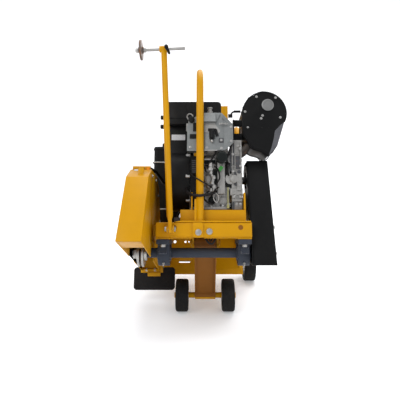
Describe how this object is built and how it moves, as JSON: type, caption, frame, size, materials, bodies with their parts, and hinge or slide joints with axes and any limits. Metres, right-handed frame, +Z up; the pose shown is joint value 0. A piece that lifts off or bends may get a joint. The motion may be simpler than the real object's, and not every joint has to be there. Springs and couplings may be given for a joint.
{
  "type": "walk-behind concrete saw",
  "caption": "Walk-behind concrete saw with a gasoline engine, blade guard, folding pointer, lifting bail, wind-down front wheels and rear handlebars.",
  "frame": {"origin": "on the floor under the middle of the machine's outline, in its raised travelling position", "axes": "+Z up, front of the machine towards -Y, +X to the right when looking at its front"},
  "size_m": [0.625, 1.2462, 1.0604],
  "materials": {
    "yellow_paint": "semi-gloss enamel",
    "zinc_steel": "zinc plated",
    "blue_grey_cast": "satin over cast iron",
    "bearing_steel": "ground",
    "dark_steel": "oiled",
    "bronze": "machined",
    "black_rubber": "matte",
    "tyre_rubber": "matte",
    "black_sheet": "satin",
    "cast_aluminium": "as cast",
    "bare_shroud": "pressed sheet",
    "black_plastic": "fine grain",
    "black_painted": "gloss",
    "rusty_iron": "worn",
    "hot_steel": "heat tinted",
    "red_handle": "smooth"
  },
  "bodies": {
    "chassis": {"front_beam": "yellow_paint", "deck_plate": "yellow_paint", "frame_sides": "yellow_paint", "engine_base": "yellow_paint", "bolts_and_pins": "zinc_steel", "bearing_housings": "blue_grey_cast", "bearing_inserts": "bearing_steel", "blade_guard": "yellow_paint", "splash_flap": "black_rubber", "water_pipes": "zinc_steel", "belt_cover": "black_sheet", "belt_back_plate": "black_sheet", "drive_belts": "black_rubber", "crankcase": "cast_aluminium", "side_cover": "cast_aluminium", "blower_housing": "black_plastic", "cylinders": "cast_aluminium", "rocker_covers": "cast_aluminium", "cooling_shroud": "bare_shroud", "air_cleaner": "black_plastic", "oil_filter": "black_painted", "starter_motor": "black_painted", "carburetor": "cast_aluminium", "exhaust_pipes": "hot_steel", "muffler": "black_sheet", "heat_shield": "bare_shroud", "fuel_tank": "black_plastic", "battery": "black_plastic", "lifting_bail": "yellow_paint", "rear_axle": "dark_steel", "handlebars": "yellow_paint", "handle_grips": "black_rubber", "console": "yellow_paint", "cables": "black_rubber"},
    "blade_spindle": {"blade_shaft": "dark_steel", "inner_flange": "zinc_steel", "outer_flange": "zinc_steel", "arbor_nut": "zinc_steel", "driven_pulley": "dark_steel"},
    "engine_shaft": {"crankshaft": "dark_steel", "flywheel_fan": "cast_aluminium", "drive_pulley": "dark_steel"},
    "lift_arm": {"swing_arm": "yellow_paint"},
    "front_wheel_left": {"front_wheel_left": "tyre_rubber"},
    "front_wheel_right": {"front_wheel_right": "tyre_rubber"},
    "rear_wheel_left": {"rear_wheel_left": "tyre_rubber"},
    "rear_wheel_right": {"rear_wheel_right": "tyre_rubber"},
    "tie_rod": {"tie_rod": "dark_steel"},
    "bell_crank": {"bell_crank": "dark_steel"},
    "screw_nut": {"screw_nut": "bronze"},
    "depth_screw": {"depth_screw": "zinc_steel"},
    "guard_nose": {"guard_nose": "yellow_paint"},
    "pointer_arm": {"pointer_post": "yellow_paint"},
    "pointer_rod": {"pointer_rod": "zinc_steel"},
    "pointer_disc": {"pointer_disc": "rusty_iron"},
    "rod_clamp": {"rod_clamp": "black_plastic"},
    "throttle_lever": {"throttle_lever": "black_plastic"},
    "ignition_key": {"ignition_key": "zinc_steel"},
    "fuel_cap": {"fuel_cap": "black_plastic"},
    "water_lever": {"water_lever": "red_handle"}
  },
  "joints": [
    {"name": "blade_spin", "type": "hinge", "parent": "chassis", "child": "blade_spindle", "pos_m": [-0.019, -0.33707, 0.27472], "axis": [1, 0, 0], "continuous": true},
    {"name": "engine_spin", "type": "hinge", "parent": "chassis", "child": "engine_shaft", "pos_m": [-0.019, -0.17698, 0.52286], "axis": [1, 0, 0], "continuous": true},
    {"name": "depth_crank", "type": "hinge", "parent": "chassis", "child": "depth_screw", "pos_m": [-0.01, 0.32295, 0.48918], "axis": [0, 0.2079, 0.9781], "range_deg": [0, 3578.59]},
    {"name": "arm_lift", "type": "hinge", "parent": "chassis", "child": "lift_arm", "pos_m": [-0.013, -0.28361, 0.30016], "axis": [1, 0, 0], "range_deg": [0, 33]},
    {"name": "rod_swing", "type": "hinge", "parent": "lift_arm", "child": "tie_rod", "pos_m": [-0.01, -0.26214, 0.33971], "axis": [1, 0, 0], "range_deg": [-33, 0]},
    {"name": "bell_crank_swing", "type": "hinge", "parent": "chassis", "child": "bell_crank", "pos_m": [-0.01, 0.18982, 0.19953], "axis": [1, 0, 0], "range_deg": [0, 33]},
    {"name": "nut_travel", "type": "slide", "parent": "chassis", "child": "screw_nut", "axis": [0, 0.2079, 0.9781], "range_m": [0, 0.03977]},
    {"name": "front_left_roll", "type": "hinge", "parent": "lift_arm", "child": "front_wheel_left", "pos_m": [-0.105, -0.16492, 0.06211], "axis": [1, 0, 0], "continuous": true},
    {"name": "front_right_roll", "type": "hinge", "parent": "lift_arm", "child": "front_wheel_right", "pos_m": [0.079, -0.16492, 0.06211], "axis": [1, 0, 0], "continuous": true},
    {"name": "rear_left_roll", "type": "hinge", "parent": "chassis", "child": "rear_wheel_left", "pos_m": [-0.244, 0.23, 0.1], "axis": [1, 0, 0], "continuous": true},
    {"name": "rear_right_roll", "type": "hinge", "parent": "chassis", "child": "rear_wheel_right", "pos_m": [0.206, 0.23, 0.1], "axis": [1, 0, 0], "continuous": true},
    {"name": "nose_open", "type": "hinge", "parent": "chassis", "child": "guard_nose", "pos_m": [-0.243, -0.33561, 0.57979], "axis": [-1, 0, 0], "range_deg": [0, 100]},
    {"name": "pointer_fold", "type": "hinge", "parent": "chassis", "child": "pointer_arm", "pos_m": [-0.135, -0.41196, 0.37447], "axis": [1, 0, 0], "range_deg": [0, 122]},
    {"name": "pointer_reach", "type": "slide", "parent": "pointer_arm", "child": "pointer_rod", "axis": [0.9987, 0.0105, 0.0495], "range_m": [-0.05, 0.05]},
    {"name": "disc_roll", "type": "hinge", "parent": "pointer_rod", "child": "pointer_disc", "pos_m": [-0.25464, -0.27437, 1.0218], "axis": [0.9987, 0.0105, 0.0495], "continuous": true},
    {"name": "clamp_turn", "type": "hinge", "parent": "pointer_arm", "child": "rod_clamp", "pos_m": [-0.15876, -0.27336, 1.02655], "axis": [0, 0.9781, -0.2079], "range_deg": [0, 180]},
    {"name": "throttle", "type": "hinge", "parent": "chassis", "child": "throttle_lever", "pos_m": [0.061, 0.25429, 0.78185], "axis": [1, 0, 0], "range_deg": [-6, 12]},
    {"name": "key_turn", "type": "hinge", "parent": "chassis", "child": "ignition_key", "pos_m": [-0.079, 0.26599, 0.80799], "axis": [0, 0.2079, 0.9781], "range_deg": [0, 60]},
    {"name": "fuel_cap_turn", "type": "hinge", "parent": "chassis", "child": "fuel_cap", "pos_m": [-0.184, 0.12598, 0.66395], "axis": [0, 0.2079, 0.9781], "range_deg": [0, 120]},
    {"name": "water_tap", "type": "hinge", "parent": "chassis", "child": "water_lever", "pos_m": [-0.115, 0.21218, 0.73764], "axis": [0, 0.2079, 0.9781], "range_deg": [0, 90]}
  ],
  "couplings": [
    {"joint": "blade_spin", "follows": "engine_spin", "ratio": 0.86111},
    {"joint": "arm_lift", "follows": "depth_crank", "ratio": 0.0092215},
    {"joint": "rod_swing", "follows": "depth_crank", "ratio": -0.0092215},
    {"joint": "bell_crank_swing", "follows": "depth_crank", "ratio": 0.0092215},
    {"joint": "nut_travel", "follows": "depth_crank", "m_per_rad": 0.00063662}
  ]
}
